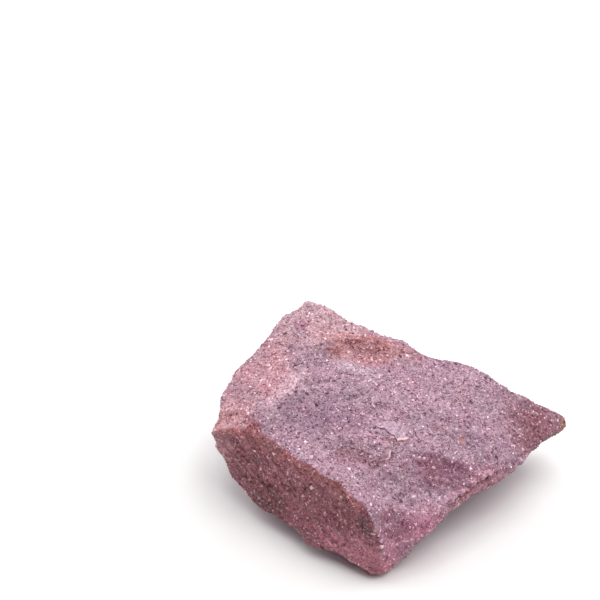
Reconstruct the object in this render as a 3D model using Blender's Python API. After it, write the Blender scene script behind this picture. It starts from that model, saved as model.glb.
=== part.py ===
"""A raw piece of coffee jasper: a thick four-cornered chip of granular stone, as it breaks from the block.

The stone is drawn in millimetres, with x to the right, y to the back and z up from the surface that it
rests on. Its edges are lines of points. Five edges make the upper rim, and three rings below the rim go
round the stone: the bulge of its sides, the heel just above the surface, and the sole underneath. The
broken top is drawn by the lines along which it steps, dips or turns down. The lines are joined by faces,
fused into one closed skin, roughened with lumps and scallops, and cut flat where the stone rests.
"""

import bpy
import bmesh
from math import atan2, radians, tau
from mathutils import Vector, noise
from mathutils.geometry import delaunay_2d_cdt

MM = 0.001

# The upper rim, clockwise from the left corner as seen from above
LEFT_EDGE = [(-30.3, -5.0, 14.5), (-29.3, -2.5, 15.5), (-28.2, -0.5, 16.5), (-28.3, 2.0, 17.5),
             (-25.5, 6.7, 18.5), (-21.7, 11.2, 20.0), (-18.3, 16.3, 21.7)]
BACK_EDGE = [(-13.7, 19.1, 23.1), (-10.5, 17.8, 22.8), (-8.3, 16.2, 22.4), (-6.5, 14.5, 21.9),
             (-2.5, 12.8, 21.6), (3.0, 11.0, 20.7), (6.0, 8.9, 19.9), (9.7, 8.0, 19.6), (12.9, 7.4, 19.1),
             (16.7, 5.7, 17.9), (18.5, 5.1, 17.0), (21.0, 4.2, 15.3), (24.2, 4.3, 13.6), (27.2, 4.7, 11.3)]
TIP = [(29.1, 4.8, 9.8), (30.6, 4.5, 8.6), (29.6, 3.1, 8.1)]
LIP = [(26.5, -1.5, 9.5), (23.3, -5.4, 10.2), (21.8, -8.2, 10.7), (18.3, -10.6, 11.6), (15.6, -12.3, 11.9),
       (13.6, -14.5, 11.6), (11.1, -16.1, 11.2), (9.1, -18.1, 10.5), (7.6, -19.8, 10.0), (6.2, -20.8, 9.5)]
PROW_TOP = [(4.2, -20.4, 9.6), (1.9, -20.0, 10.4), (-0.3, -20.5, 11.7), (-3.2, -22.4, 13.0)]
FRONT_RIDGE = [(-4.1, -22.3, 14.4), (-5.2, -21.7, 15.6), (-6.6, -21.5, 16.4), (-7.9, -20.8, 17.1),
               (-8.2, -19.2, 17.4), (-11.6, -17.8, 17.7), (-13.4, -15.6, 17.9), (-15.2, -15.0, 17.9),
               (-18.2, -12.2, 18.4), (-21.5, -9.3, 18.4), (-24.8, -7.5, 17.6), (-28.2, -5.4, 15.8)]
RIM = LEFT_EDGE + BACK_EDGE + TIP + LIP + PROW_TOP + FRONT_RIDGE

# The bulge of the sides, clockwise from the left corner
BULGE = [(-29.3, -5.0, 11.5), (-28.5, 1.0, 9.0), (-25.5, 8.5, 9.5), (-20.5, 14.5, 9.0), (-15.5, 20.0, 11.5),
         (-9.5, 18.5, 10.0), (-2.0, 14.5, 12.5), (3.5, 13.5, 9.0), (9.5, 9.5, 11.0), (16.5, 7.5, 9.0),
         (23.0, 6.0, 8.5), (28.5, 4.7, 7.2), (29.8, 3.3, 7.0), (26.7, -0.2, 8.0), (23.4, -4.0, 8.6),
         (21.7, -7.0, 9.2), (18.3, -10.0, 9.2), (14.6, -13.0, 9.4), (11.5, -15.2, 9.2), (9.3, -17.1, 8.6),
         (7.9, -18.8, 8.2), (6.0, -20.8, 7.6), (3.6, -21.6, 6.6), (0.8, -22.6, 7.2),
         (-1.9, -24.3, 8.5), (-5.5, -22.4, 8.0), (-10.0, -20.2, 8.0), (-14.5, -16.9, 9.0),
         (-20.0, -12.3, 9.0), (-24.0, -8.5, 9.5), (-27.5, -5.8, 9.5)]

# The heel, just above the surface
HEEL = [(-25.8, -7.0, 4.5), (-26.0, -1.0, 4.0), (-23.5, 6.0, 3.0), (-19.5, 12.5, 3.5), (-14.5, 17.5, 4.0),
        (-8.0, 16.0, 3.0), (1.0, 13.0, 4.0), (9.5, 9.5, 3.5), (17.0, 7.0, 4.0), (23.5, 4.5, 5.0),
        (22.0, 0.0, 5.0), (18.0, -3.9, 4.0), (13.0, -9.1, 3.2), (8.0, -14.1, 2.7), (4.4, -18.3, 3.1),
        (2.6, -21.6, 3.3), (0.9, -22.6, 1.5), (-0.6, -23.7, 0.9), (-2.8, -24.7, 1.0), (-4.5, -24.4, 1.6),
        (-6.1, -23.4, 2.1), (-8.6, -21.9, 2.6), (-11.4, -20.5, 2.7), (-13.7, -19.2, 2.7),
        (-15.2, -17.4, 3.2), (-18.3, -14.5, 3.7), (-21.2, -12.4, 3.7), (-23.5, -10.2, 3.7)]

# The sole, drawn below the surface, because the stone is cut flat there
SOLE = [(-15.0, -5.0, -0.9), (-16.0, 1.5, -0.9), (-11.0, 8.5, -0.9), (-3.5, 7.5, -0.9), (4.0, 6.0, -0.9),
        (7.5, 0.5, -0.9), (4.0, -6.5, -0.9), (-0.5, -14.5, -0.9), (-4.5, -16.5, -0.9), (-10.0, -11.0, -0.9)]

# The relief of the broken top, from the back to the front. Its treads are nearly level, and between them
# the stone steps down along a lip and a foot.
LEFT_CREST = [(-14.0, 9.0, 23.0), (-14.0, 5.2, 22.8), (-14.5, 2.1, 22.3), (-16.7, -0.8, 21.7),
              (-19.0, -3.4, 21.2), (-21.1, -5.3, 20.3), (-22.1, -6.7, 19.3)]
SCARP_LIP = [(-12.9, 7.8, 22.9), (-10.5, 8.8, 22.9), (-7.6, 9.7, 22.8), (-4.7, 10.0, 22.5),
             (-1.9, 9.6, 21.9), (0.7, 8.7, 20.9)]
SCARP_FOOT = [(-12.2, 5.7, 21.0), (-9.8, 6.9, 20.8), (-7.3, 7.7, 20.7), (-4.7, 7.9, 20.5),
              (-2.2, 7.4, 20.3), (0.0, 6.6, 20.1)]
DISH_RIM = [(-12.0, 1.6, 21.0), (-9.2, 1.7, 20.9), (-6.5, 1.1, 20.8), (-4.2, -0.3, 20.5),
            (-2.6, -2.2, 20.0)]
DISH_FOOT = [(-11.6, -1.4, 19.9), (-8.4, -2.0, 19.4), (-5.8, -3.3, 19.0), (-3.8, -4.5, 18.6)]
HOLLOW_LIP = [(-9.6, -10.4, 19.0), (-7.3, -11.0, 18.7), (-4.9, -11.1, 18.5), (-2.4, -10.8, 18.4),
              (-0.4, -10.4, 18.1)]
HOLLOW_FOOT = [(-8.5, -12.8, 17.6), (-5.9, -13.5, 17.0), (-3.1, -13.6, 16.8), (-0.3, -12.7, 16.4)]
STEP_LIP = [(2.6, -10.8, 16.6), (5.1, -10.8, 16.1), (7.7, -10.9, 15.5), (10.2, -11.4, 14.8),
            (12.4, -12.3, 14.0), (14.2, -12.7, 12.9)]
STEP_FOOT = [(1.1, -14.2, 15.4), (2.7, -14.9, 13.1), (5.0, -14.9, 11.7), (7.6, -15.1, 11.0),
             (10.1, -14.5, 10.9)]
TIP_BREAK = [(19.6, 3.2, 15.2), (19.0, -0.8, 14.9), (18.5, -4.2, 14.3), (17.3, -7.4, 13.7)]
SWELLS = [[(1.5, -2.0, 19.1), (8.0, -1.0, 18.5), (11.5, -6.0, 16.8)],
          [(-15.0, -8.0, 19.6), (-12.5, -12.0, 18.6)],
          [(1.0, -16.7, 12.9), (6.0, -17.5, 11.0)]]
RELIEF = [LEFT_CREST, SCARP_LIP, SCARP_FOOT, DISH_RIM, DISH_FOOT, HOLLOW_LIP, HOLLOW_FOOT, STEP_LIP,
          STEP_FOOT, TIP_BREAK] + SWELLS

# The middle of the stone, round which its rings are joined, and the bearing where joining starts
MIDDLE = Vector((-1.0, -2.0))
FIRST_BEARING = radians(140)

# Points of the top closer than this are one point
MERGE = 1e-6

# The fused skin: its first mesh, how far its edges are worn, and the triangles that are kept
SKIN_CELL = 0.38
WEAR_PASSES = 1
WEAR = 0.5
TRIANGLES = 8500

# The roughness of the skin: the width and the height of its lumps, scallops and grit. A scallop's outline
# is bent by this part of its width, and its edge lies about this part of its width from its middle. The
# skin rests where a scallop has this part of its height.
LUMP_WIDTH = 7.0
LUMP_HEIGHT = 0.35
SCALLOP_WIDTH = 4.5
SCALLOP_HEIGHT = 0.30
SCALLOP_BEND = 0.35
SCALLOP_EDGE = 0.75
SCALLOP_REST = 0.75
GRIT_WIDTH = 1.6
GRIT_HEIGHT = 0.12

STONE_COLOUR = (0.41, 0.22, 0.27, 1.0)
STONE_ROUGHNESS = 0.6

# Edges sharper than this are shaded as edges
SHARP = radians(40)


def clear_scene():
    for thing in list(bpy.data.objects):
        bpy.data.objects.remove(thing, do_unlink=True)


def inside(outline, point):
    """Whether a point lies inside a closed outline, both seen from above."""
    crossings = 0
    for a, b in zip(outline, outline[1:] + outline[:1]):
        if (a.y > point.y) != (b.y > point.y):
            crossing_x = a.x + (b.x - a.x) * (point.y - a.y) / (b.y - a.y)
            crossings += point.x < crossing_x
    return crossings % 2 == 1


def top_faces(rim, relief):
    """Triangles over the top that keep the rim and every line of the relief as edges."""
    points = [Vector(point) for point in rim]
    edges = [(number, (number + 1) % len(rim)) for number in range(len(rim))]
    for line in relief:
        first = len(points)
        points += [Vector(point) for point in line]
        edges += [(number, number + 1) for number in range(first, len(points) - 1)]
    flat = [point.xy for point in points]
    corners, _, triangles, sources, _, _ = delaunay_2d_cdt(flat, edges, [], 0, MERGE)
    outline = flat[:len(rim)]
    faces = []
    for triangle in triangles:
        centre = sum((corners[number] for number in triangle), Vector((0.0, 0.0))) / 3
        if inside(outline, centre):
            faces.append([points[sources[number][0]] for number in triangle])
    return faces


def by_bearing(ring):
    """The ring's points in clockwise order, each with the angle turned from the first bearing."""
    turned = []
    for point in ring:
        bearing = atan2(point[1] - MIDDLE.y, point[0] - MIDDLE.x)
        turned.append(((FIRST_BEARING - bearing) % tau, Vector(point)))
    return sorted(turned, key=lambda pair: pair[0])


def band_faces(upper, lower):
    """Triangles between two rings, joined where their bearings are nearest."""
    upper = by_bearing(upper)
    lower = by_bearing(lower)
    upper.append((upper[0][0] + tau, upper[0][1]))
    lower.append((lower[0][0] + tau, lower[0][1]))
    faces = []
    i = 0
    j = 0
    while i < len(upper) - 1 or j < len(lower) - 1:
        upper_is_next = j == len(lower) - 1 or (i < len(upper) - 1 and upper[i + 1][0] <= lower[j + 1][0])
        if upper_is_next:
            faces.append([upper[i][1], upper[i + 1][1], lower[j][1]])
            i += 1
        else:
            faces.append([upper[i][1], lower[j + 1][1], lower[j][1]])
            j += 1
    return faces


def cage():
    """The closed, plain-faced stone that the lines make."""
    faces = top_faces(RIM, RELIEF)
    faces += band_faces(RIM, BULGE) + band_faces(BULGE, HEEL) + band_faces(HEEL, SOLE)
    faces.append([point for _, point in by_bearing(SOLE)])
    mesh = bmesh.new()
    vertices = {}
    for face in faces:
        for point in face:
            if tuple(point) not in vertices:
                vertices[tuple(point)] = mesh.verts.new(point * MM)
        mesh.faces.new([vertices[tuple(point)] for point in face])
    bmesh.ops.recalc_face_normals(mesh, faces=mesh.faces[:])
    return mesh


def as_object(mesh, name):
    data = bpy.data.meshes.new(name)
    mesh.to_mesh(data)
    mesh.free()
    made = bpy.data.objects.new(name, data)
    bpy.context.scene.collection.objects.link(made)
    return made


def with_modifier(thing, kind, **settings):
    """Replaces the object's mesh with the mesh that one modifier makes of it."""
    modifier = thing.modifiers.new(kind.title(), kind)
    for name, value in settings.items():
        setattr(modifier, name, value)
    evaluated = thing.evaluated_get(bpy.context.evaluated_depsgraph_get())
    plain = thing.data
    thing.data = bpy.data.meshes.new_from_object(evaluated)
    thing.modifiers.clear()
    bpy.data.meshes.remove(plain)


def scallop(place):
    """The height of a place among the shallow hollows that chips left, from 0 in a hollow to about 1."""
    bent = place + SCALLOP_BEND * noise.noise_vector(place)
    distances, _ = noise.voronoi(bent)
    return distances[0] ** 2 / SCALLOP_EDGE ** 2


def roughen(thing):
    """Moves the skin in and out by broad lumps, scallops and grit."""
    mesh = bmesh.new()
    mesh.from_mesh(thing.data)
    mesh.normal_update()
    for vertex in mesh.verts:
        place = vertex.co / MM
        height = LUMP_HEIGHT * noise.noise(place / LUMP_WIDTH)
        height += SCALLOP_HEIGHT * (scallop(place / SCALLOP_WIDTH) - SCALLOP_REST)
        height += GRIT_HEIGHT * noise.noise(place / GRIT_WIDTH)
        vertex.co += vertex.normal * height * MM
    mesh.to_mesh(thing.data)
    mesh.free()


def cut_sole(thing):
    """Cuts the stone flat at the surface, which leaves the spot that it rests on."""
    mesh = bmesh.new()
    mesh.from_mesh(thing.data)
    everything = mesh.verts[:] + mesh.edges[:] + mesh.faces[:]
    bmesh.ops.bisect_plane(mesh, geom=everything, plane_co=(0, 0, 0), plane_no=(0, 0, 1), clear_inner=True)
    rims = [edge for edge in mesh.edges if edge.is_boundary]
    bmesh.ops.contextual_create(mesh, geom=rims)
    bmesh.ops.triangulate(mesh, faces=mesh.faces[:])
    bmesh.ops.recalc_face_normals(mesh, faces=mesh.faces[:])
    mesh.to_mesh(thing.data)
    mesh.free()


def centre_on_sole(thing):
    """Puts the origin under the middle of the stone's box, at the surface."""
    xs = [vertex.co.x for vertex in thing.data.vertices]
    ys = [vertex.co.y for vertex in thing.data.vertices]
    shift = Vector(((min(xs) + max(xs)) / 2, (min(ys) + max(ys)) / 2, 0.0))
    for vertex in thing.data.vertices:
        vertex.co -= shift


def stone_material():
    material = bpy.data.materials.new("granular stone")
    material.use_nodes = True
    surface = material.node_tree.nodes["Principled BSDF"]
    surface.inputs["Base Color"].default_value = STONE_COLOUR
    surface.inputs["Roughness"].default_value = STONE_ROUGHNESS
    return material


def jasper_stone():
    stone = as_object(cage(), "jasper_stone")
    with_modifier(stone, "REMESH", mode="VOXEL", voxel_size=SKIN_CELL * MM)
    with_modifier(stone, "SMOOTH", factor=WEAR, iterations=WEAR_PASSES)
    roughen(stone)
    with_modifier(stone, "TRIANGULATE")
    with_modifier(stone, "DECIMATE", ratio=TRIANGLES / len(stone.data.polygons))
    cut_sole(stone)
    centre_on_sole(stone)
    stone.data.materials.append(stone_material())
    stone.data.shade_smooth()
    stone.data.set_sharp_from_angle(angle=SHARP)
    return stone


clear_scene()
jasper_stone()
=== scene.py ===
# %% [markdown]
# A raw piece of coffee jasper
#
# The real thing is one lump of granular stone, broken from a block and left as it broke. It is mauve-pink
# and looks like lump sugar: thousands of quartz grains, each about 0.4 mm wide, are fused into a mass, and a
# break runs through and between them. This script dresses the plain solid of the stone. It makes one fine
# skin with the small relief of the break, lets grains grow out of it, and gives each kind of grain its
# finish.

# %% Load the frame
from math import cos, exp, radians, sin, tanh, tau
from random import Random

import bmesh
import bpy
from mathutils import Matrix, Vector, noise
from mathutils.geometry import intersect_point_line


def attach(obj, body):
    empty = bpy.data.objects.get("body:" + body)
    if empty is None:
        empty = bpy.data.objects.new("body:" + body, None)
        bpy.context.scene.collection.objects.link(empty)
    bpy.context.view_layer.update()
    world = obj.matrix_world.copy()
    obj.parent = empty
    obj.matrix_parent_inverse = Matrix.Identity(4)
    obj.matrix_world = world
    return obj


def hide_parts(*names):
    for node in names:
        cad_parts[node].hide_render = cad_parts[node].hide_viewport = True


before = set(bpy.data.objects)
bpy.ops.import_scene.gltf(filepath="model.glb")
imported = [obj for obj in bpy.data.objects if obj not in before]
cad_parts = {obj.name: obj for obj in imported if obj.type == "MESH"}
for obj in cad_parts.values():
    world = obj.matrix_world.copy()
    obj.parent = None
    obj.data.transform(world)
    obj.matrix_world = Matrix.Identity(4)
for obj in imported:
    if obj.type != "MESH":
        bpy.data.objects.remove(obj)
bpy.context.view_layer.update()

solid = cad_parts["jasper_stone"]
# Sizes and places are in millimetres, where no comment names another unit, and Blender takes metres
MM = 0.001

# %% [markdown]
# The camera
#
# The stone was photographed from above and in front, through a long lens, so its edges hardly converge. The
# camera could be moved by hand until the picture fits, but one measured point does it exactly: the foot of
# the stone's front corner. The camera is put where that foot falls on its own pixel, and where one pixel
# there covers 0.165 mm.

# %% Place the camera
CAMERA_TILT = radians(42)
# The lens's focal length, and the sensor's width
LENS = 150.0
SENSOR = 36.0
PICTURE_SIDE = 600
MM_PER_PIXEL = 0.165
# The foot of the front corner, and its pixel
FOOT = Vector((-2.6, -20.8, 0.0))
FOOT_PIXEL = (377, 574)
# The distance in metres from which on the camera sees
NEAREST_SEEN = 0.01


def new_object(name, data):
    made = bpy.data.objects.new(name, data)
    bpy.context.scene.collection.objects.link(made)
    return made


def place_camera():
    lens = bpy.data.cameras.new("camera")
    lens.lens = LENS
    lens.sensor_width = SENSOR
    lens.clip_start = NEAREST_SEEN
    camera = new_object("camera", lens)
    ahead = Vector((0.0, cos(CAMERA_TILT), -sin(CAMERA_TILT)))
    up = Vector((0.0, sin(CAMERA_TILT), cos(CAMERA_TILT)))
    right = Vector((1.0, 0.0, 0.0))
    distance = LENS / SENSOR * PICTURE_SIDE * MM_PER_PIXEL
    across = (FOOT_PIXEL[0] - PICTURE_SIDE / 2) * MM_PER_PIXEL
    below = (FOOT_PIXEL[1] - PICTURE_SIDE / 2) * MM_PER_PIXEL
    camera.location = (FOOT - ahead * distance - right * across + up * below) * MM
    camera.rotation_euler = (radians(90) - CAMERA_TILT, 0.0, 0.0)
    bpy.context.scene.camera = camera
    return camera


camera = place_camera()
print("camera, mm:", [round(value / MM, 1) for value in camera.location])

# %% [markdown]
# The skin
#
# The solid is faceted, and its facets are wider than a grain. The skin starts as a copy of it. Subdividing
# the copy would keep its long thin triangles. A voxel remesh gives it even faces everywhere instead, which
# is what displacement needs. A light smoothing takes the facets' edges away. The copy's loose triangles are
# merged first, because a remesh of an open mesh tears.

# %% Make the skin
SKIN_CELL = 0.30
SMOOTHING = 0.5
SMOOTHING_PASSES = 1
MERGE = 0.001


def finished_mesh(shape, name):
    """A plain mesh of a bmesh, which is then done with."""
    mesh = bpy.data.meshes.new(name)
    shape.to_mesh(mesh)
    shape.free()
    return mesh


def evaluated_mesh(thing):
    """A plain mesh of the object as its modifiers leave it."""
    graph = bpy.context.evaluated_depsgraph_get()
    return bpy.data.meshes.new_from_object(thing.evaluated_get(graph), preserve_all_data_layers=True,
                                           depsgraph=graph)


def merged_copy(node):
    shape = bmesh.new()
    shape.from_mesh(node.data)
    bmesh.ops.remove_doubles(shape, verts=shape.verts[:], dist=MERGE * MM)
    return finished_mesh(shape, "stone_skin")


skin = new_object("stone_skin", merged_copy(solid))
remesh = skin.modifiers.new("even faces", "REMESH")
remesh.mode = "VOXEL"
remesh.voxel_size = SKIN_CELL * MM
smooth = skin.modifiers.new("worn facets", "SMOOTH")
smooth.factor = SMOOTHING
smooth.iterations = SMOOTHING_PASSES
skin.data = evaluated_mesh(skin)
skin.modifiers.clear()
skin.data.materials.clear()
print("skin:", len(skin.data.polygons), "faces")

# %% [markdown]
# The stained front
#
# The steep left front is an older break than the top. Rust stained it, and gathered in a band along its
# upper edge. A finish of nodes alone would need many clouds of colour to follow such a long edge, so both
# are painted while the skin is still smooth: every point of the skin keeps two numbers, and the grains will
# inherit them. One says whether the point is on the front, which is where the skin faces the front's way and
# lies far enough out. The other falls from 1 at the edge to 0 a few millimetres away, raggedly.

# %% Paint the front and its edge
FRONT_FACING = Vector((-0.579, -0.805, 0.128))
# The front starts at the first number and is full at the second: how squarely the skin faces the front's
# way, as a cosine, and how far out it lies that way
FACING_RANGE = (0.50, 0.70)
OUTWARD_RANGE = (17.5, 18.5)
FRONT_EDGE = [(-29.5, -2.0, 15.0), (-27.8, -3.1, 16.1), (-23.5, -5.8, 17.6), (-18.6, -9.3, 17.9),
              (-14.5, -13.4, 17.4), (-10.4, -15.5, 17.5), (-8.8, -16.8, 16.3), (-6.4, -19.1, 15.4)]
FRONT_NAME = "front"
STAIN_NAME = "stain"
STAIN_REACH = 2.2
STAIN_RAG_WIDTH = 2.0


def ramp(value, start, end):
    """0 up to the start, 1 from the end on, and straight between them."""
    return min(1.0, max(0.0, (value - start) / (end - start)))


def from_line(place, line):
    """Distance in mm from a place to a line of points in space."""
    distances = []
    for a, b in zip(line, line[1:]):
        nearest, share = intersect_point_line(place, a, b)
        if share < 0.0:
            nearest = a
        elif share > 1.0:
            nearest = b
        distances.append((place - nearest).length)
    return min(distances)


def paint_front(mesh):
    line = [Vector(point) for point in FRONT_EDGE]
    fronts = []
    stains = []
    for vertex in mesh.vertices:
        place = vertex.co / MM
        faces_front = ramp(vertex.normal.dot(FRONT_FACING), *FACING_RANGE)
        fronts.append(faces_front * ramp(place.dot(FRONT_FACING), *OUTWARD_RANGE))
        reach = STAIN_REACH * (1.0 + noise.noise(place / STAIN_RAG_WIDTH))
        stains.append(exp(-(from_line(place, line) / reach) ** 2))
    mesh.attributes.new(FRONT_NAME, "FLOAT", "POINT").data.foreach_set("value", fronts)
    mesh.attributes.new(STAIN_NAME, "FLOAT", "POINT").data.foreach_set("value", stains)
    return fronts


fronts = paint_front(skin.data)
print("share of the skin on the front:", round(sum(fronts) / len(fronts), 3))

# %% [markdown]
# The relief of the break
#
# A break in granular stone is rough at every scale. Broad chips leave shallow hollows with sharp rims, and
# grit covers both. The steep sides also have ribs, where the break ran along the bedding. A Displace
# modifier makes one such pattern at a time, but here some depend on the way the skin faces. So each is a
# function that gives a height in millimetres, and the heights can simply be added up later.

# %% Heights of chips, grit and ribs
# The vector noise takes its seed from the clock, and so differs from run to run, unless a seed is set
NOISE_SEED = 1
noise.seed_set(NOISE_SEED)
CHIP_WIDTH = 2.4
CHIP_HEIGHT = 0.14
CHIP_BEND = 0.5
CHIP_REST = 0.6
GRIT_WIDTH = 0.9
GRIT_HEIGHT = 0.10
RIB_ALONG = Vector((0.67, -0.47, -0.57)).normalized()
RIB_WIDTH = 1.1
RIB_LENGTH = 7.0
RIB_HEIGHT = 0.38
# Ribs are gone where the skin faces up or down this much, from 0 on a wall to 1 on level ground
RIB_FACING = 0.5


def chips(place):
    """Height in mm of the hollows that chips left: low in their middles, sharp at their rims."""
    bent = place / CHIP_WIDTH + CHIP_BEND * noise.noise_vector(place / CHIP_WIDTH)
    distances, _ = noise.voronoi(bent)
    return CHIP_HEIGHT * (distances[0] ** 2 - CHIP_REST)


def grit(place):
    """Height in mm of grit about as coarse as two grains."""
    return GRIT_HEIGHT * noise.noise(place / GRIT_WIDTH)


def ribs(place, normal):
    """Height in mm of ribs that run down the steep sides and fade out on the top."""
    along = place.dot(RIB_ALONG)
    squeezed = (place - RIB_ALONG * along) / RIB_WIDTH + RIB_ALONG * (along / RIB_LENGTH)
    steepness = max(0.0, 1.0 - abs(normal.z) / RIB_FACING)
    return steepness * RIB_HEIGHT * noise.noise(squeezed)


print("ribs run along", [round(value, 2) for value in RIB_ALONG])

# %% [markdown]
# The ledges
#
# In a few places the break jumped from one bed to the next and left a ledge, less than a millimetre high.
# Noise can't put a ledge where the real one is, so each is drawn as a line seen from above. The stone is
# raised on the left of the line and lowered on its right, most of all at the line itself. A little noise
# makes the line ragged.

# %% Heights of the ledges
# Each ledge: the points of its line, and its height
LEDGES = {
    "chip in the middle": (
        [(-4.4, -4.7), (-2.5, -5.8), (-0.9, -7.0), (0.5, -7.4), (1.2, -6.0), (2.8, -5.2)], 0.30),
    "flake before the chip": (
        [(-4.6, -12.5), (-2.9, -11.4), (-1.4, -10.3), (-0.9, -9.5), (-0.6, -8.7)], 0.25),
    "lip of the scarp": (
        [(-13.0, 10.0), (-10.6, 11.0), (-7.7, 11.9), (-4.8, 12.2), (-2.0, 11.8), (0.6, 10.9)], 0.12),
    "rim of the dish": (
        [(-12.1, 3.8), (-9.3, 3.9), (-6.6, 3.3), (-4.3, 1.9), (-2.7, 0.0)], 0.10),
    "lip of the hollow": (
        [(-9.7, -8.2), (-7.4, -8.8), (-5.0, -8.9), (-2.5, -8.6)], 0.10),
    "lip of the step": (
        [(2.5, -8.6), (5.0, -8.6), (7.6, -8.7), (10.1, -9.2), (12.3, -10.1), (14.1, -10.5)], 0.12),
}
# How wide a ledge's own slope is, how far the raised and lowered ground reaches, and the length over which
# a ledge's ends run out
LEDGE_SLOPE = 0.15
LEDGE_REACH = 1.3
LEDGE_END = 1.2
# Ledges are cut only where the skin faces up at least this much
LEDGE_FACING = 0.2
RAG_WIDTH = 1.3
RAG = 0.6


def beside(point, line):
    """How far a point lies on the left of a line, and how far from the line's nearer end, both in mm."""
    nearest = None
    walked = 0.0
    length = sum((b - a).length for a, b in zip(line, line[1:]))
    for a, b in zip(line, line[1:]):
        step = b - a
        share = ramp((point - a).dot(step), 0.0, step.length_squared)
        away = point - (a + step * share)
        if nearest is None or away.length < abs(nearest[0]):
            side = 1.0 if step.cross(away) > 0 else -1.0
            at = walked + share * step.length
            nearest = (side * away.length, min(at, length - at))
        walked += step.length
    return nearest


def ledges(place, normal):
    """Height in mm of all the ledges at one place on the top."""
    if normal.z < LEDGE_FACING:
        return 0.0
    ragged = (place + RAG * noise.noise_vector(place / RAG_WIDTH)).xy
    height = 0.0
    for line, rise in LEDGES.values():
        side, end = beside(ragged, [Vector(point) for point in line])
        fade = ramp(end, 0.0, LEDGE_END)
        height += rise * fade * tanh(side / LEDGE_SLOPE) * exp(-abs(side) / LEDGE_REACH)
    return height


print("ledges:", len(LEDGES))

# %% [markdown]
# The nicks in the thin lip
#
# The stone's right edge is thin, and small pieces broke off it. They could be cut out one by one, but chips
# that are cut only close to a line along the edge look the same. Just under the edge a flake came half loose
# and left a crease, which is a shallow channel along a line of its own.

# %% Depths of the nicks and the crease
THIN_LIP = [(26.4, 0.7, 9.5), (23.2, -3.2, 10.2), (21.7, -6.0, 10.7), (18.2, -8.4, 11.6),
            (15.5, -10.1, 11.9), (13.5, -12.3, 11.6), (11.0, -13.9, 11.2), (9.0, -15.9, 10.5),
            (6.1, -18.6, 9.5)]
NICK_WIDTH = 1.6
NICK_DEPTH = 1.8
NICK_REACH = 1.5
# A nick starts this far from the middles of the noise's cells, as a part of their width
NICK_START = 0.35
CREASE = [(9.6, -14.6, 9.4), (11.7, -13.2, 10.4), (13.0, -12.3, 10.8), (14.4, -11.1, 10.9),
          (16.0, -9.7, 10.8), (17.2, -8.8, 11.1)]
CREASE_WIDTH = 0.4
CREASE_DEPTH = 0.9


def nicks(place):
    """Height in mm, never above 0, of the nicks along the thin lip."""
    away = from_line(place, [Vector(point) for point in THIN_LIP])
    if away > 2 * NICK_REACH:
        return 0.0
    distances, _ = noise.voronoi(place / NICK_WIDTH)
    return -NICK_DEPTH * max(0.0, distances[0] - NICK_START) * exp(-(away / NICK_REACH) ** 2)


def crease(place):
    """Height in mm, never above 0, of the crease under the lip."""
    away = from_line(place, [Vector(point) for point in CREASE])
    return -CREASE_DEPTH * exp(-(away / CREASE_WIDTH) ** 2)


print("points of the thin lip:", len(THIN_LIP), "and of the crease:", len(CREASE))

# %% [markdown]
# All the relief together
#
# Every point of the skin moves along its normal by the sum of the heights. The relief fades out at the sole,
# which stays flat, because the stone rests on it.

# %% Roughen the skin
# The height above the sole over which the relief fades in
SOLE_FADE = 0.8


def roughen(mesh):
    normals = [vertex.normal.copy() for vertex in mesh.vertices]
    for vertex, normal in zip(mesh.vertices, normals):
        place = vertex.co / MM
        height = chips(place) + grit(place) + ribs(place, normal) + ledges(place, normal)
        height += nicks(place) + crease(place)
        place += normal * height * ramp(place.z, 0.0, SOLE_FADE)
        place.z = max(place.z, 0.0)
        vertex.co = place * MM


roughen(skin.data)
skin.data.shade_smooth()
print("relief added to", len(skin.data.vertices), "points")

# %% [markdown]
# Helpers for the finishes and the grains
#
# Every finish and every grain tree below is a small network of nodes. One function adds a node, sets its
# options and fills its inputs, with a number or with a link from another node. Another turns the hex colours
# that people use into the linear values that Blender reckons with, and the last starts a finish.

# %% Node and colour helpers
# The sRGB curve: straight below the knee, and a power above it
SRGB_KNEE = 0.04045
SRGB_SLOPE = 12.92
SRGB_OFFSET = 0.055
SRGB_POWER = 2.4


def linear(code):
    """The linear RGBA of an sRGB hex colour."""
    parts = []
    for start in (1, 3, 5):
        part = int(code[start:start + 2], 16) / 255
        if part <= SRGB_KNEE:
            parts.append(part / SRGB_SLOPE)
        else:
            parts.append(((part + SRGB_OFFSET) / (1 + SRGB_OFFSET)) ** SRGB_POWER)
    return (*parts, 1.0)


def add(tree, kind, inputs=None, **options):
    """Adds a node with its options, and sets or links its inputs."""
    node = tree.nodes.new(kind)
    for name, value in options.items():
        setattr(node, name, value)
    for name, value in (inputs or {}).items():
        if isinstance(value, bpy.types.NodeSocket):
            tree.links.new(value, node.inputs[name])
        else:
            node.inputs[name].default_value = value
    return node


def new_finish(name, roughness):
    """A new material, and its surface node, which still has Blender's own colour."""
    material = bpy.data.materials.new(name)
    material.use_nodes = True
    surface = material.node_tree.nodes["Principled BSDF"]
    surface.inputs["Roughness"].default_value = roughness
    return material, surface


print("white is", linear("#FFFFFF"), "and middle grey is", round(linear("#808080")[0], 3))

# %% [markdown]
# The colours of the stone
#
# The stone isn't one colour. Its middle is lilac, the left strip and the back corner are paler and pinker,
# iron has stained the scarp at the back orange-red, and the pointed end and the front corner are reddest.
# Some zones are painted light and shade instead of colour: painted shade on the facet that faces the front,
# in hollows and under the chip and the flake, painted highlights on the crest and the front corner, and
# painted light on the prow, on top of its pink.
# A picture could be wrapped round the stone, but it would smear on the steep sides. These zones are soft
# clouds round points in the stone, so they are drawn in Object coordinates: a Mapping node centres a
# ball-shaped gradient on the point, stretches it and turns it, and noise frays its edge.

# %% Colour zones
BASE_COLOUR = "#AE899B"
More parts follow.
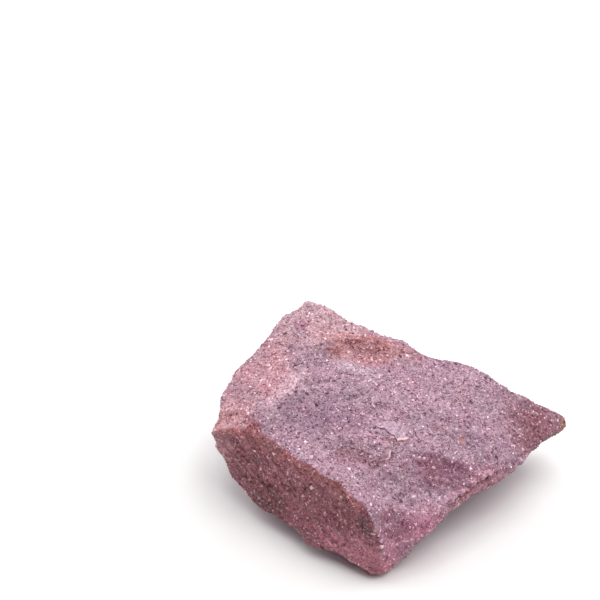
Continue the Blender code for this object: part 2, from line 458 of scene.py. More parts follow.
# Each zone: centre, reach along x, y and z, turn about z in degrees, colour, strength
ZONES = {
    "lilac dish": ((-12.0, -3.0, 19.6), (11.0, 7.0, 5.0), -10, "#937085", 0.9),
    "lilac slope on the right": ((13.0, -3.5, 16.0), (12.0, 5.0, 5.0), -10, "#A27A8F", 0.8),
    "bluish patch": ((-6.0, 7.0, 20.6), (5.5, 2.4, 3.0), -10, "#BEA5B3", 0.9),
    "pale left strip": ((-21.5, 6.0, 19.0), (7.0, 16.0, 9.0), -33, "#C3919B", 0.95),
    "rusty left corner": ((-27.5, -1.5, 15.5), (6.5, 5.5, 5.0), 0, "#D2A0A6", 0.9),
    # A painted highlight: the bright line along the crest is painted pale
    "painted highlight on the crest": ((-17.6, 1.5, 21.6), (2.2, 9.0, 4.0), -38, "#D3AEB9", 0.9),
    "pale back corner": ((-11.5, 16.0, 22.5), (13.5, 9.0, 6.0), -25, "#C39DA5", 0.9),
    "stained scarp": ((-4.0, 10.8, 21.4), (13.0, 3.9, 3.6), -6, "#BC7C7D", 0.75),
    "red line along the scarp": ((-5.0, 11.9, 21.9), (5.5, 0.7, 1.0), -4, "#A85A5A", 0.75),
    "magenta specks behind": ((-15.1, 15.6, 22.4), (1.8, 2.0, 1.4), 0, "#A85C76", 0.65),
    "red point": ((26.0, 3.2, 10.5), (13.0, 10.5, 9.0), 0, "#8F5664", 0.95),
    # Painted shade: the facet that faces the front is painted darker
    "painted shade on the facet facing front": ((8.6, -10.7, 13.8), (8.8, 3.2, 4.0), -15, "#A36C82", 0.9),
    "pink lip": ((14.5, -11.0, 11.9), (8.0, 3.5, 3.0), 40, "#CB90A2", 0.6),
    "rosy side of the lip": ((14.5, -12.5, 8.6), (12.0, 5.5, 3.2), 42, "#B87A88", 0.9),
    # The prow is pink, and its colour is also painted lighter: painted light where it faces the light
    "pink prow with painted light": ((3.5, -19.5, 5.5), (9.5, 7.0, 9.0), 25, "#C988A0", 0.95),
    "red foot": ((-2.5, -22.3, 1.5), (5.0, 4.0, 4.0), 0, "#D0808C", 0.9),
    # Painted shade: the hollow in front is painted darker
    "painted shade in the hollow in front": ((-6.0, -10.6, 16.6), (7.0, 3.2, 3.0), 0, "#9A6A79", 0.85),
    # A painted highlight: the ridge of the front corner is painted pale
    "painted highlight on the front corner": ((-2.6, -21.2, 10.0), (1.0, 1.0, 5.5), 0, "#D8ACB8", 0.8),
    # A painted shadow: a dark brown line under the chip's raised edge
    "painted shadow under the chip": ((-0.6, -7.5, 17.8), (2.8, 0.6, 1.0), -25, "#8C5C5C", 0.8),
    "paler ground round the chip": ((0.2, -5.3, 18.0), (4.0, 2.4, 1.5), -10, "#BC9FB2", 0.7),
    # Painted shade: the hollow of the prow is painted darker
    "painted shade in the hollow of the prow": ((0.0, -19.3, 10.4), (5.0, 3.2, 3.8), 0, "#9A6276", 0.85),
    "rusty tip": ((30.2, 6.0, 8.2), (1.9, 1.9, 2.2), 0, "#B07850", 0.85),
    # A painted shadow: the notch at the flake's end is painted dark
    "painted shadow in the flake's notch": ((-0.3, -9.7, 16.9), (0.6, 0.6, 0.8), 0, "#5E3A48", 0.8),
    "red specks": ((7.0, -3.8, 17.0), (1.0, 0.9, 1.0), 0, "#944A58", 0.7),
    "orange spot": ((11.5, -5.4, 15.8), (1.0, 0.8, 1.0), 0, "#B8705C", 0.9),
    "dark spot on the left": ((-18.7, 12.0, 21.1), (0.35, 0.35, 0.6), 0, "#3C2230", 0.9),
    "dark spot at the back": ((-2.1, 12.2, 21.5), (0.35, 0.35, 0.6), 0, "#3C2230", 0.9),
}
# A zone's colour is full this far in from its edge, as a part of its reach
FULL_AT = 0.6
# How wide the frays of a zone's edge are, and how far they push it. A zone smaller than that isn't frayed.
FRAY_WIDTH = 3.0
FRAY = 2.0
FRAY_DETAIL = 3.0
NOISE_MIDDLE = 0.5


def in_zones(tree, place, colour, zones):
    """Mixes the colour of each zone into a colour."""
    fray = add(tree, "ShaderNodeTexNoise", {"Vector": place, "Scale": 1 / (FRAY_WIDTH * MM),
                                            "Detail": FRAY_DETAIL})
    centred = add(tree, "ShaderNodeVectorMath", {0: fray.outputs["Color"], 1: (NOISE_MIDDLE,) * 3},
                  operation="SUBTRACT")
    moved = add(tree, "ShaderNodeVectorMath", {0: centred.outputs[0], 1: (2 * FRAY * MM,) * 3, 2: place},
                operation="MULTIPLY_ADD")
    for name, (centre, reach, turn, tint, strength) in zones.items():
        small = max(reach) < FRAY
        mapping = add(tree, "ShaderNodeMapping", {
            "Vector": place if small else moved.outputs[0],
            "Location": [value * MM for value in centre],
            "Rotation": (0.0, 0.0, radians(turn)),
            "Scale": [value * MM for value in reach],
        }, vector_type="TEXTURE", label=name)
        ball = add(tree, "ShaderNodeTexGradient", {"Vector": mapping.outputs[0]},
                   gradient_type="SPHERICAL")
        share = add(tree, "ShaderNodeMapRange", {"Value": ball.outputs["Fac"], "From Max": FULL_AT,
                                                 "To Max": strength}, interpolation_type="SMOOTHSTEP")
        mix = add(tree, "ShaderNodeMix", {0: share.outputs["Result"], 6: colour, 7: linear(tint)},
                  data_type="RGBA")
        colour = mix.outputs[2]
    return colour


print("zones:", len(ZONES))

# %% [markdown]
# The colours of the front
#
# The front is browner and redder than the top, and reddest in the band along its edge. Stains ran along the
# ribs, and noise stretched in that direction draws them, because plain noise would give blots. The lower
# left of the front is its darkest part, which is painted shade, and its left end and its foot are paler,
# with a painted highlight along the left end. A painted shade lies in the recess beside the front corner.
# These are zones again. The two painted numbers say where all this shows.

# %% Colour of the front
FRONT_COLOUR = "#9F5C69"
BAND_COLOUR = "#AF6C70"
BAND_STRENGTH = 0.9
FRONT_ZONES = {
    # Painted shade: the lower left of the front is painted darker
    "painted shade on the lower left": ((-21.0, -9.5, 6.5), (8.0, 6.0, 5.5), 0, "#844650", 1.0),
    # The left end is paler stone, and its edge also carries a painted highlight
    "pale left end with painted highlight": ((-29.5, -4.5, 11.5), (3.6, 4.0, 8.5), 0, "#C8929A", 0.85),
    "pink foot": ((-6.6, -20.6, 4.2), (9.0, 6.0, 5.5), -30, "#C07A8A", 0.9),
    # Painted shade: the recess beside the front corner is painted darker
    "painted shade in the recess beside the front corner": ((-4.6, -20.4, 11.5), (1.8, 1.8, 5.0), 0, "#84525E", 0.7),
}
STREAK_DETAIL = 3.0
# The noise of the streaks lies mostly between these
STREAK_FROM = 0.3
STREAK_TO = 0.7
STREAK_DARKEST = 0.74
STREAK_LIGHTEST = 1.26


def on_front(tree, place, colour):
    """Mixes the stains of the front into the stone's colour."""
    front = add(tree, "ShaderNodeAttribute", attribute_name=FRONT_NAME)
    stain = add(tree, "ShaderNodeAttribute", attribute_name=STAIN_NAME)
    band = add(tree, "ShaderNodeMapRange", {"Value": stain.outputs["Fac"], "To Max": BAND_STRENGTH})
    banded = add(tree, "ShaderNodeMix", {0: band.outputs["Result"], 6: linear(FRONT_COLOUR),
                                         7: linear(BAND_COLOUR)}, data_type="RGBA")
    shaded = in_zones(tree, place, banded.outputs[2], FRONT_ZONES)
    along = add(tree, "ShaderNodeMapping", {
        "Vector": place,
        "Rotation": RIB_ALONG.to_track_quat("X", "Z").to_euler(),
        "Scale": (RIB_LENGTH * MM, RIB_WIDTH * MM, RIB_WIDTH * MM),
    }, vector_type="TEXTURE")
    noise_along = add(tree, "ShaderNodeTexNoise", {"Vector": along.outputs[0], "Scale": 1.0,
                                                   "Detail": STREAK_DETAIL})
    streak = add(tree, "ShaderNodeMapRange", {
        "Value": noise_along.outputs["Fac"],
        "From Min": STREAK_FROM,
        "From Max": STREAK_TO,
        "To Min": STREAK_DARKEST,
        "To Max": STREAK_LIGHTEST,
    })
    streaked = add(tree, "ShaderNodeVectorMath", {0: shaded, "Scale": streak.outputs["Result"]},
                   operation="SCALE")
    mix = add(tree, "ShaderNodeMix", {0: front.outputs["Fac"], 6: colour, 7: streaked.outputs[0]},
              data_type="RGBA")
    return mix.outputs[2]


print("zones on the front:", len(FRONT_ZONES))

# %% [markdown]
# The mottling
#
# Close by, every zone is mottled: clouds of lilac grey and of rose a few millimetres wide, paler patches
# where quartz is almost pure, and rusty specks. Each is noise of its own width, and only its peaks show. The
# colours of the front go on last, because the stains there cover the mottling.

# %% Mottled colour
# Each mottle: width, where its peaks start and are full, colour, strength
MOTTLES = {
    "lilac clouds": (5.0, 0.50, 0.66, "#9A7D90", 0.50),
    "rosy clouds": (3.4, 0.52, 0.68, "#B27682", 0.24),
    "pale patches": (2.0, 0.55, 0.72, "#D0B2BC", 0.35),
    "rusty specks": (0.9, 0.66, 0.74, "#A8504C", 0.18),
}
MOTTLE_DETAIL = 2.0


def stone_colour(tree):
    """The nodes that give the stone's colour at each place, and their last output."""
    place = add(tree, "ShaderNodeTexCoord").outputs["Object"]
    colour = in_zones(tree, place, linear(BASE_COLOUR), ZONES)
    for number, (name, (width, start, full, tint, strength)) in enumerate(MOTTLES.items()):
        cloud = add(tree, "ShaderNodeTexNoise", {
            "Vector": place,
            "W": number,
            "Scale": 1 / (width * MM),
            "Detail": MOTTLE_DETAIL,
        }, noise_dimensions="4D", label=name)
        share = add(tree, "ShaderNodeMapRange", {"Value": cloud.outputs["Fac"], "From Min": start,
                                                 "From Max": full, "To Max": strength})
        mix = add(tree, "ShaderNodeMix", {0: share.outputs["Result"], 6: colour, 7: linear(tint)},
                  data_type="RGBA")
        colour = mix.outputs[2]
    return on_front(tree, place, colour)


print("mottles:", len(MOTTLES))

# %% [markdown]
# The finish of the mass between the grains
#
# Fused quartz, broken and not polished: it gives back light as a rough, slightly glassy surface. Its IOR is
# quartz's 1.55. The grains show as cells, each a little lighter or darker than the next, and a bump at the
# same scale makes the cells stand out where no grain of the next step covers them.

# %% Finish of the mass
GRAIN_WIDTH = 0.42
QUARTZ_IOR = 1.55
CELL_DARKEST = 0.70
CELL_LIGHTEST = 1.25
CELL_BUMP = 0.05
CELL_BUMP_STRENGTH = 0.6
MASS_ROUGHNESS = 0.5


def fused_quartz():
    material, surface = new_finish("fused quartz mass, as broken", MASS_ROUGHNESS)
    tree = material.node_tree
    place = add(tree, "ShaderNodeTexCoord").outputs["Object"]
    colour = stone_colour(tree)
    cells = add(tree, "ShaderNodeTexVoronoi", {"Vector": place, "Scale": 1 / (GRAIN_WIDTH * MM)})
    grey = add(tree, "ShaderNodeSeparateColor", {0: cells.outputs["Color"]})
    shade = add(tree, "ShaderNodeMapRange", {"Value": grey.outputs[0], "To Min": CELL_DARKEST,
                                             "To Max": CELL_LIGHTEST})
    shaded = add(tree, "ShaderNodeVectorMath", {0: colour, "Scale": shade.outputs["Result"]},
                 operation="SCALE")
    bump = add(tree, "ShaderNodeBump", {"Height": cells.outputs["Distance"], "Strength": CELL_BUMP_STRENGTH,
                                        "Distance": CELL_BUMP * MM}, invert=True)
    tree.links.new(shaded.outputs[0], surface.inputs["Base Color"])
    tree.links.new(bump.outputs[0], surface.inputs["Normal"])
    surface.inputs["IOR"].default_value = QUARTZ_IOR
    return material


skin.data.materials.append(fused_quartz())
print("finish of the mass:", len(skin.data.materials[0].node_tree.nodes), "nodes")

# %% [markdown]
# The grains' finishes
#
# Five kinds of grain show: rosy and lilac ones make up most of the stone, pale ones lie among them, clear
# ones are almost colourless and catch the light on smooth faces, and a few are dark. All of them take the
# stone's colours, and a pale or clear one hides part of them behind its own paleness. Thousands of materials
# could tell single grains apart, but one number that each grain carries does the same: it makes a grain
# lighter or darker than its neighbour. It adds a little grey or takes it away, as a tiny face does that
# gleams or lies in shade, so that neighbours differ in lightness and hardly in hue. The grey is added to the
# colour as a screen would show it, which is also how the eye judges a difference.

# %% Finishes of the grains
CLEAR_COLOUR = "#EBDDE2"
# The gleam that is added or taken away, as a part of the way from black to white on a screen
GLEAM = 0.155
DISPLAY_GAMMA = 2.2
# Each kind: share of the grains, tint that multiplies the stone's colour, how clear, roughness, and how much
# of the gleam its darkest and its lightest grains take
KINDS = {
    "rosy_grains": (0.28, "#FFF6F6", 0.0, 0.45, -0.55, 0.55),
    "lilac_grains": (0.27, "#FAF4FC", 0.0, 0.45, -0.55, 0.55),
    "pale_grains": (0.17, "#FFFFFF", 0.05, 0.35, 0.25, 1.10),
    "clear_grains": (0.12, "#FFFFFF", 0.15, 0.18, 0.40, 2.10),
    "dark_grains": (0.16, "#F2E6EA", 0.0, 0.35, -1.05, -0.35),
}
SHADE_NAME = "shade"


def grain_finish(name, tint, clearness, roughness, darkest, lightest):
    material, surface = new_finish("broken quartz, " + name.replace("_", " "), roughness)
    tree = material.node_tree
    tinted = add(tree, "ShaderNodeMix", {0: 1.0, 6: stone_colour(tree), 7: linear(tint)}, data_type="RGBA",
                 blend_type="MULTIPLY")
    cleared = add(tree, "ShaderNodeMix", {0: clearness, 6: tinted.outputs[2], 7: linear(CLEAR_COLOUR)},
                  data_type="RGBA")
    own = add(tree, "ShaderNodeAttribute", attribute_name=SHADE_NAME)
    share = add(tree, "ShaderNodeMapRange", {"Value": own.outputs["Fac"], "To Min": darkest,
                                             "To Max": lightest})
    seen = add(tree, "ShaderNodeGamma", {"Color": cleared.outputs[2], "Gamma": 1 / DISPLAY_GAMMA})
    gleaming = add(tree, "ShaderNodeVectorMath", {0: share.outputs["Result"], 1: (GLEAM,) * 3,
                                                  2: seen.outputs[0]}, operation="MULTIPLY_ADD")
    shaded = add(tree, "ShaderNodeGamma", {"Color": gleaming.outputs[0], "Gamma": DISPLAY_GAMMA})
    tree.links.new(shaded.outputs[0], surface.inputs["Base Color"])
    surface.inputs["IOR"].default_value = QUARTZ_IOR
    return material


finishes = {name: grain_finish(name, *kind[1:]) for name, kind in KINDS.items()}
print("finishes of grains:", list(finishes))

# %% [markdown]
# The shapes of the grains
#
# A grain that broke free of its neighbours is a lump with a few flat faces. A ball has no flat face that
# could glint, and modelling lumps by hand is slow. A double pyramid whose corners are pushed about at random
# and hulled has at most ten flat faces, which catch the light one by one. Six such shapes are enough,
# because each is turned and stretched in its own way wherever it stands.

# %% Shapes of the grains
GRAIN_SHAPES = 6
GRAIN_SIDES = 5
# The double pyramid's radius, and how far its corners are pushed, where a grain is one unit wide
GRAIN_RADIUS = 0.55
GRAIN_JITTER = 0.2


def grain_shapes(tree):
    """A bag of hulled, jittered double pyramids, about one unit wide."""
    bag = add(tree, "GeometryNodeJoinGeometry")
    for seed in range(GRAIN_SHAPES):
        ball = add(tree, "GeometryNodeMeshUVSphere", {"Segments": GRAIN_SIDES, "Rings": 2,
                                                      "Radius": GRAIN_RADIUS})
        push = add(tree, "FunctionNodeRandomValue", {0: (-GRAIN_JITTER,) * 3, 1: (GRAIN_JITTER,) * 3,
                                                     "Seed": seed}, data_type="FLOAT_VECTOR")
        pushed = add(tree, "GeometryNodeSetPosition", {"Geometry": ball.outputs["Mesh"],
                                                       "Offset": push.outputs[0]})
        hull = add(tree, "GeometryNodeConvexHull", {"Geometry": pushed.outputs[0]})
        shape = add(tree, "GeometryNodeGeometryToInstance", {0: hull.outputs[0]})
        tree.links.new(shape.outputs[0], bag.inputs[0])
    return bag.outputs[0]


print("shapes of grains:", GRAIN_SHAPES, "with up to", 2 * GRAIN_SIDES, "faces each")

# %% [markdown]
# The places of the grains
#
# Several grains stand on each square millimetre, far too many to place by hand, so Geometry Nodes scatter
# them. Points are spread over the skin so that no two are closer than the spacing. Each point draws a number
# that says which kind of grain grows there. Every kind runs the same tree with another range of that number,
# so the kinds never share a point. The points lie a little below the skin, so that mostly the tops of the
# grains will show.

# %% Points for the grains
GRAIN_SPACING = 0.27
# How many points are tried for each square of the spacing's side, before the close ones are thinned out
CROWDING = 4.0
GRAIN_SINK = 0.10
SCATTER_SEED = 7
# Grains keep this far above the sole, which stays flat
SOLE_CLEARANCE = 0.5


def scattered_points(tree, given):
    """The node that spreads points over the skin."""
    one_each = add(tree, "ShaderNodeMath", {0: given["Spacing"], 1: -2.0}, operation="POWER")
    density = add(tree, "ShaderNodeMath", {0: one_each.outputs[0], 1: CROWDING}, operation="MULTIPLY")
    return add(tree, "GeometryNodeDistributePointsOnFaces", {
        "Mesh": given["Skin"],
        "Distance Min": given["Spacing"],
        "Density Max": density.outputs[0],
        "Seed": given["Seed"],
    }, distribute_method="POISSON")


def unwanted_points(tree, given):
    """True for a point that is another kind's or lies too near the sole."""
    # Each number that a point draws has a seed of its own, and this is the first
    draw = add(tree, "FunctionNodeRandomValue", {"Seed": 1}, data_type="FLOAT").outputs[1]
    too_low = add(tree, "FunctionNodeCompare", {"A": draw, "B": given["Kind from"]}, operation="LESS_THAN")
    too_high = add(tree, "FunctionNodeCompare", {"A": draw, "B": given["Kind to"]},
                   operation="GREATER_EQUAL")
    other_kind = add(tree, "FunctionNodeBooleanMath", {0: too_low.outputs[0], 1: too_high.outputs[0]},
                     operation="OR")
    height = add(tree, "ShaderNodeSeparateXYZ", {0: add(tree, "GeometryNodeInputPosition").outputs[0]})
    near_sole = add(tree, "FunctionNodeCompare", {"A": height.outputs["Z"], "B": SOLE_CLEARANCE * MM},
                    operation="LESS_THAN")
    unwanted = add(tree, "FunctionNodeBooleanMath", {0: other_kind.outputs[0], 1: near_sole.outputs[0]},
                   operation="OR")
    return unwanted.outputs[0]


def points_of_kind(tree, given):
    """The points of one kind, sunk in the skin, each with a shade of its own."""
    points = scattered_points(tree, given)
    lower = add(tree, "ShaderNodeMath", {0: given["Sink"], 1: -1.0}, operation="MULTIPLY")
    inward = add(tree, "ShaderNodeVectorMath", {0: points.outputs["Normal"], "Scale": lower.outputs[0]},
                 operation="SCALE")
    sunk = add(tree, "GeometryNodeSetPosition", {"Geometry": points.outputs["Points"],
                                                 "Offset": inward.outputs[0]})
    kept = add(tree, "GeometryNodeDeleteGeometry", {"Geometry": sunk.outputs[0],
                                                    "Selection": unwanted_points(tree, given)})
    own_shade = add(tree, "FunctionNodeRandomValue", {"Seed": 2}, data_type="FLOAT")
    shaded = add(tree, "GeometryNodeStoreNamedAttribute", {
        "Geometry": kept.outputs[0],
        "Name": SHADE_NAME,
        "Value": own_shade.outputs[1],
    })
    return shaded.outputs[0]


print("grains stand at least", GRAIN_SPACING, "mm apart")

# %% [markdown]
# The tree that grows the grains
#
# On each point stands one of the shapes, turned anyhow, squeezed or stretched a little, and now and then
# much coarser than the rest. Instances alone would do for a render, but the tree ends by making them real
# and giving them their finish. Its sizes are named inputs, so that the same tree can be built for every
# kind.

# %% Grain tree
# The coarsest grain is wider than the others by this part, and this power of chance makes it rare
COARSEST = 0.8
COARSENESS = 12.0
NARROWEST = 0.75
LONGEST = 1.3


def size_of_grains(tree, given):
    """Each grain's width along its three axes."""
    stretch = add(tree, "FunctionNodeRandomValue", {0: (NARROWEST,) * 3, 1: (LONGEST,) * 3, "Seed": 4},
                  data_type="FLOAT_VECTOR")
    luck = add(tree, "FunctionNodeRandomValue", {"Seed": 5}, data_type="FLOAT")
    rare = add(tree, "ShaderNodeMath", {0: luck.outputs[1], 1: COARSENESS}, operation="POWER")
    larger = add(tree, "ShaderNodeMath", {0: rare.outputs[0], 1: COARSEST, 2: 1.0},
                 operation="MULTIPLY_ADD")
    width = add(tree, "ShaderNodeMath", {0: larger.outputs[0], 1: given["Width"]}, operation="MULTIPLY")
    size = add(tree, "ShaderNodeVectorMath", {0: stretch.outputs[0], "Scale": width.outputs[0]},
               operation="SCALE")
    return size.outputs[0]


def grain_tree(material):
    tree = bpy.data.node_groups.new("grains on a break", "GeometryNodeTree")
    for name, kind in (("Skin", "Geometry"), ("Spacing", "Float"), ("Width", "Float"), ("Sink", "Float"),
                       ("Kind from", "Float"), ("Kind to", "Float"), ("Seed", "Int")):
        tree.interface.new_socket(name, in_out="INPUT", socket_type="NodeSocket" + kind)
    tree.interface.new_socket("Grains", in_out="OUTPUT", socket_type="NodeSocketGeometry")
    given = add(tree, "NodeGroupInput").outputs
    turn = add(tree, "FunctionNodeRandomValue", {1: (tau,) * 3, "Seed": 3}, data_type="FLOAT_VECTOR")
    grown = add(tree, "GeometryNodeInstanceOnPoints", {
        "Points": points_of_kind(tree, given),
        "Instance": grain_shapes(tree),
        "Pick Instance": True,
        "Rotation": turn.outputs[0],
        "Scale": size_of_grains(tree, given),
    })
    real = add(tree, "GeometryNodeRealizeInstances", {"Geometry": grown.outputs[0]})
    finished = add(tree, "GeometryNodeSetMaterial", {"Geometry": real.outputs[0], "Material": material})
    add(tree, "NodeGroupOutput", {"Grains": finished.outputs[0]})
    return tree


print("grains are", GRAIN_WIDTH, "mm wide, and the coarsest", round(GRAIN_WIDTH * (1 + COARSEST), 2), "mm")

# %% [markdown]
# The grains
#
# Each kind gets an object that borrows the skin's mesh and runs the tree. What comes out is turned into a
# plain mesh, one for each kind, because a mesh with every grain in it would be too large to export whole.

# %% Grow the grains
def grow(name, first, last, material):
    """An object with the grains of one kind as a plain mesh."""
    grains = new_object(name, skin.data)
    modifier = grains.modifiers.new("grains", "NODES")
    modifier.node_group = grain_tree(material)
    inputs = {"Spacing": GRAIN_SPACING * MM, "Width": GRAIN_WIDTH * MM, "Sink": GRAIN_SINK * MM,
              "Kind from": first, "Kind to": last, "Seed": SCATTER_SEED}
    for item in modifier.node_group.interface.items_tree:
        if item.name in inputs:
            modifier[item.identifier] = inputs[item.name]
    grains.data = evaluated_mesh(grains)
    grains.modifiers.clear()
    return grains


grains = []
triangles = 0
drawn = 0.0
for name, (share, *_) in KINDS.items():
    made = grow(name, drawn, drawn + share, finishes[name])
    drawn += share
    grains.append(made)
    made.data.calc_loop_triangles()
    triangles += len(made.data.loop_triangles)
    print(name, ":", len(made.data.loop_triangles), "triangles")
skin_area = sum(face.area for face in skin.data.polygons) / MM ** 2
print("grains on a square mm:", round(triangles / (2 * GRAIN_SIDES) / skin_area, 1))

# %% [markdown]
# The flakes
#
# Two thin flakes of the top didn't quite come off: a plate in the middle and a splinter in front of it. The
# skin can't fold over to make one, so they are pieces of their own. Each is an outline seen from above that
# is dropped on the skin, and each point of the outline stands off the skin by its own height. Where a flake
# stands off, light comes through its thin edge and catches its lip, so the edge and a narrow rim
# on top of it are painted paler: a painted highlight.

# %% Lay the flakes
# Each flake: the points of its outline, each with its height above the skin
FLAKES = {
    "plate": [(-3.2, -4.6, 0.15), (-2.0, -5.4, 0.25), (-1.3, -5.6, 0.30), (-0.9, -6.3, 0.35),
              (-0.4, -6.8, 0.40), (0.2, -6.9, 0.40), (0.7, -7.6, 0.45), (1.3, -7.2, 0.45),
              (2.0, -7.1, 0.45), (2.6, -6.5, 0.35), (2.1, -5.9, 0.30), (2.4, -5.1, 0.15),
              (1.6, -4.2, 0.05), (0.4, -3.7, 0.05), (-1.3, -3.6, 0.05)],
    "splinter": [(-3.9, -11.6, 0.10), (-2.9, -11.2, 0.20), (-2.0, -10.9, 0.28), (-1.2, -10.7, 0.39),
                 (-0.5, -10.2, 0.42), (-0.4, -9.2, 0.35), (-0.9, -9.1, 0.25), (-1.6, -9.9, 0.15),
                 (-2.8, -10.6, 0.10)],
}
# Points that stand off more than this have the painted highlight on their edge and rim
HIGHLIGHT_RIM_FROM = 0.38
# The rim's width, as a part of the way to the flake's middle
RIM_SHARE = 0.22
# How deep a flake's walls go into the skin, and the height from which its points are dropped
FLAKE_DEPTH = 0.25
DROP_FROM = 30.0
# The number of the painted highlight's finish among the flakes' two
PAINTED_HIGHLIGHT_EDGE = 1
# The colour of the painted highlight on the thin edge and rim
PAINTED_HIGHLIGHT_EDGE_COLOUR = "#E6BEC4"
THIN_EDGE_ROUGHNESS = 0.4


def plain_quartz(name, code, roughness):
    """A finish for quartz of one colour."""
    material, surface = new_finish(name, roughness)
    surface.inputs["Base Color"].default_value = linear(code)
    surface.inputs["IOR"].default_value = QUARTZ_IOR
    return material


def height_of_skin(x, y):
    """Height in mm of the skin's top under a place seen from above."""
    _, spot, _, _ = skin.ray_cast(Vector((x, y, DROP_FROM)) * MM, Vector((0.0, 0.0, -1.0)))
    return spot.z / MM


def add_flake(shape, outline):
    """Adds one flake: its walls, a rim along its top and the top inside the rim."""
    bottom = []
    top = []
    for x, y, stands_off in outline:
        ground = height_of_skin(x, y)
        bottom.append(shape.verts.new(Vector((x, y, ground - FLAKE_DEPTH)) * MM))
        top.append(shape.verts.new(Vector((x, y, ground + stands_off)) * MM))
    middle = sum((vertex.co for vertex in top), Vector()) / len(top)
    inner = [shape.verts.new(vertex.co.lerp(middle, RIM_SHARE)) for vertex in top]
    for number, (_, _, stands_off) in enumerate(outline):
        after = (number + 1) % len(outline)
        edge = shape.faces.new((top[number], bottom[number], bottom[after], top[after]))
        rim = shape.faces.new((top[number], top[after], inner[after], inner[number]))
        # Where the flake stands off, its edge and rim get the painted highlight
        if stands_off > HIGHLIGHT_RIM_FROM:
            edge.material_index = PAINTED_HIGHLIGHT_EDGE
            rim.material_index = PAINTED_HIGHLIGHT_EDGE
    shape.faces.new(inner)


def flakes():
    shape = bmesh.new()
    for outline in FLAKES.values():
        add_flake(shape, outline)
    bmesh.ops.triangulate(shape, faces=shape.faces[:])
    mesh = finished_mesh(shape, "flakes")
    mesh.materials.append(skin.data.materials[0])
    mesh.materials.append(plain_quartz("thin edge of quartz, painted highlight", PAINTED_HIGHLIGHT_EDGE_COLOUR, THIN_EDGE_ROUGHNESS))
    return new_object("flakes", mesh)


loose = flakes()
print("flakes:", len(FLAKES))

# %% [markdown]
# The pebbles
#
# A few grains are up to twice as wide as the others. They are milky quartz or feldspar, nearly white, and
# stand out of the break like seeds. Their whiteness is partly a painted glint as well. Scattering would
# put them anywhere, so each is listed and snapped to the skin. A ball of 20 triangles with its corners
# pushed about at random is enough for something this small.

# %% Set the pebbles
# Each pebble: place and width
PEBBLES = {
    (-13.1, -14.4, 14.0): 0.8,
    (-8.6, -17.3, 14.6): 0.7,
    (-24.3, -6.4, 4.4): 0.9,
    (-17.7, -10.8, 3.9): 0.6,
    (-2.0, -21.7, 7.8): 0.8,
    (-2.5, 8.9, 20.0): 0.5,
    (6.7, -10.0, 14.0): 0.7,
    (5.1, -9.1, 15.3): 0.6,
    (3.5, 0.9, 18.9): 0.5,
    (3.3, -9.0, 15.6): 0.6,
}
PEBBLE_JITTER = 0.12
PEBBLE_SEED = 3
# Nearly white: partly the milky grain's colour, partly a painted glint
PEBBLE_AND_GLINT_COLOUR = "#F2D0D0"
PEBBLE_ROUGHNESS = 0.3


def pebbles():
    shape = bmesh.new()
    luck = Random(PEBBLE_SEED)
    for place, width in PEBBLES.items():
        _, spot, _, _ = skin.closest_point_on_mesh(Vector(place) * MM)
        corners = bmesh.ops.create_icosphere(shape, subdivisions=1, radius=width * MM / 2)["verts"]
        for corner in corners:
            push = Vector([luck.uniform(-PEBBLE_JITTER, PEBBLE_JITTER) for _ in range(3)])
            corner.co += push * width * MM + spot
    mesh = finished_mesh(shape, "milky_pebbles")
    mesh.materials.append(plain_quartz("milky quartz, white with painted glint", PEBBLE_AND_GLINT_COLOUR, PEBBLE_ROUGHNESS))
    return new_object("milky_pebbles", mesh)


milky = pebbles()
print("pebbles:", len(PEBBLES))

# %% [markdown]
# The white floor
#
# The stone lies on white card. Card is matt: it shows no reflection of the stone, only its shadow. One large
# square is enough, because the light washes the card out to white a few centimetres from the stone, and its
# far edges never show.

# %% Lay the floor
# The floor's side in metres
FLOOR_SIDE = 4.0
CARD_COLOUR = "#F8F8F7"
CARD_ROUGHNESS = 0.9


def white_floor():
    shape = bmesh.new()
    bmesh.ops.create_grid(shape, x_segments=1, y_segments=1, size=FLOOR_SIDE / 2)
    mesh = finished_mesh(shape, "white_floor")
    material, surface = new_finish("matt white card", CARD_ROUGHNESS)
    surface.inputs["Base Color"].default_value = linear(CARD_COLOUR)
    surface.inputs["Specular IOR Level"].default_value = 0.0
    mesh.materials.append(material)
    return new_object("white_floor", mesh)


floor = white_floor()
print("floor:", FLOOR_SIDE, "m wide")

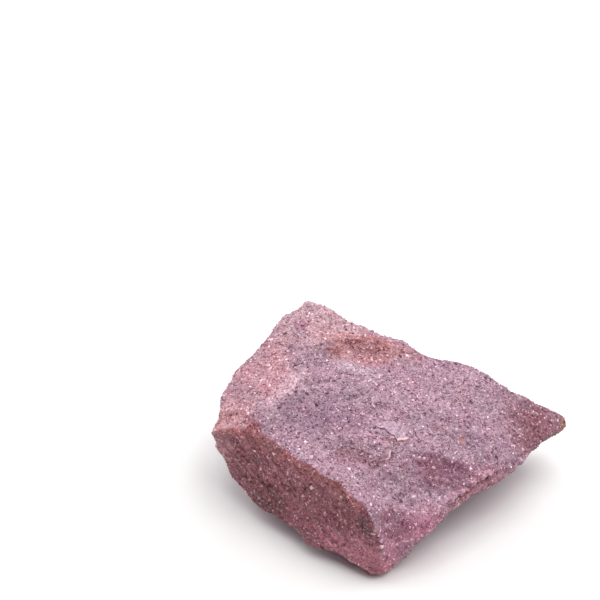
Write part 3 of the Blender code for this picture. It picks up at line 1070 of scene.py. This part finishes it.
# %% [markdown]
# The light
#
# The shadows are soft and lie close to the stone all round, so the light is a broad tent overhead, a little
# stronger from the right and from behind. A plain white sky would be simpler, but it shines the same from
# every side. Eight soft boxes on a dome can be set one by one. The ones behind the stone also give its top a
# pale sheen, because they shine towards the camera off the tops of the grains. The room adds no light, and
# shows white where the camera looks past the floor.

# %% Hang the soft boxes
# The radius of the dome and the width of each round soft box, in metres
DOME = 0.8
BOX_WIDTH = 0.6
# Each box: bearing in degrees, with 0 behind the stone and 90 on its left, height in degrees, and watts
SOFT_BOXES = {
    "overhead": (0, 90, 2.3),
    "back": (0, 60, 1.1),
    "left back": (60, 60, 0.6),
    "front": (180, 60, 0.3),
    "right front": (240, 60, 1.8),
    "right back": (300, 60, 1.35),
    "low left back": (60, 35, 2.8),
    "low right back": (300, 35, 1.95),
}


def soft_box(name, bearing, height, watts):
    light = bpy.data.lights.new(name, "AREA")
    light.shape = "DISK"
    light.size = BOX_WIDTH
    light.energy = watts
    box = new_object(name, light)
    out = Vector((-sin(radians(bearing)) * cos(radians(height)),
                  cos(radians(bearing)) * cos(radians(height)),
                  sin(radians(height))))
    box.location = out * DOME
    box.rotation_euler = (-out).to_track_quat("-Z", "Y").to_euler()


def white_room():
    world = bpy.data.worlds.new("white room")
    world.use_nodes = True
    tree = world.node_tree
    seen = add(tree, "ShaderNodeLightPath").outputs["Is Camera Ray"]
    background = tree.nodes["Background"]
    background.inputs["Color"].default_value = (1.0, 1.0, 1.0, 1.0)
    tree.links.new(seen, background.inputs["Strength"])
    bpy.context.scene.world = world


for name, (bearing, height, watts) in SOFT_BOXES.items():
    soft_box(name, bearing, height, watts)
white_room()
bpy.context.scene.view_settings.view_transform = "Standard"
print("soft boxes:", len(SOFT_BOXES), "with", round(sum(box[2] for box in SOFT_BOXES.values()), 1), "watts")

# %% [markdown]
# The pieces on the frame
#
# The stone is one rigid body, so every piece rides on the frame's root. The skin takes the place of the
# plain solid, and the floor is only a stage. The grains may stand out by a fraction of a millimetre.

# %% Tie the pieces to the frame
for piece in [skin, loose, milky] + grains:
    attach(piece, "root")
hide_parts("jasper_stone")
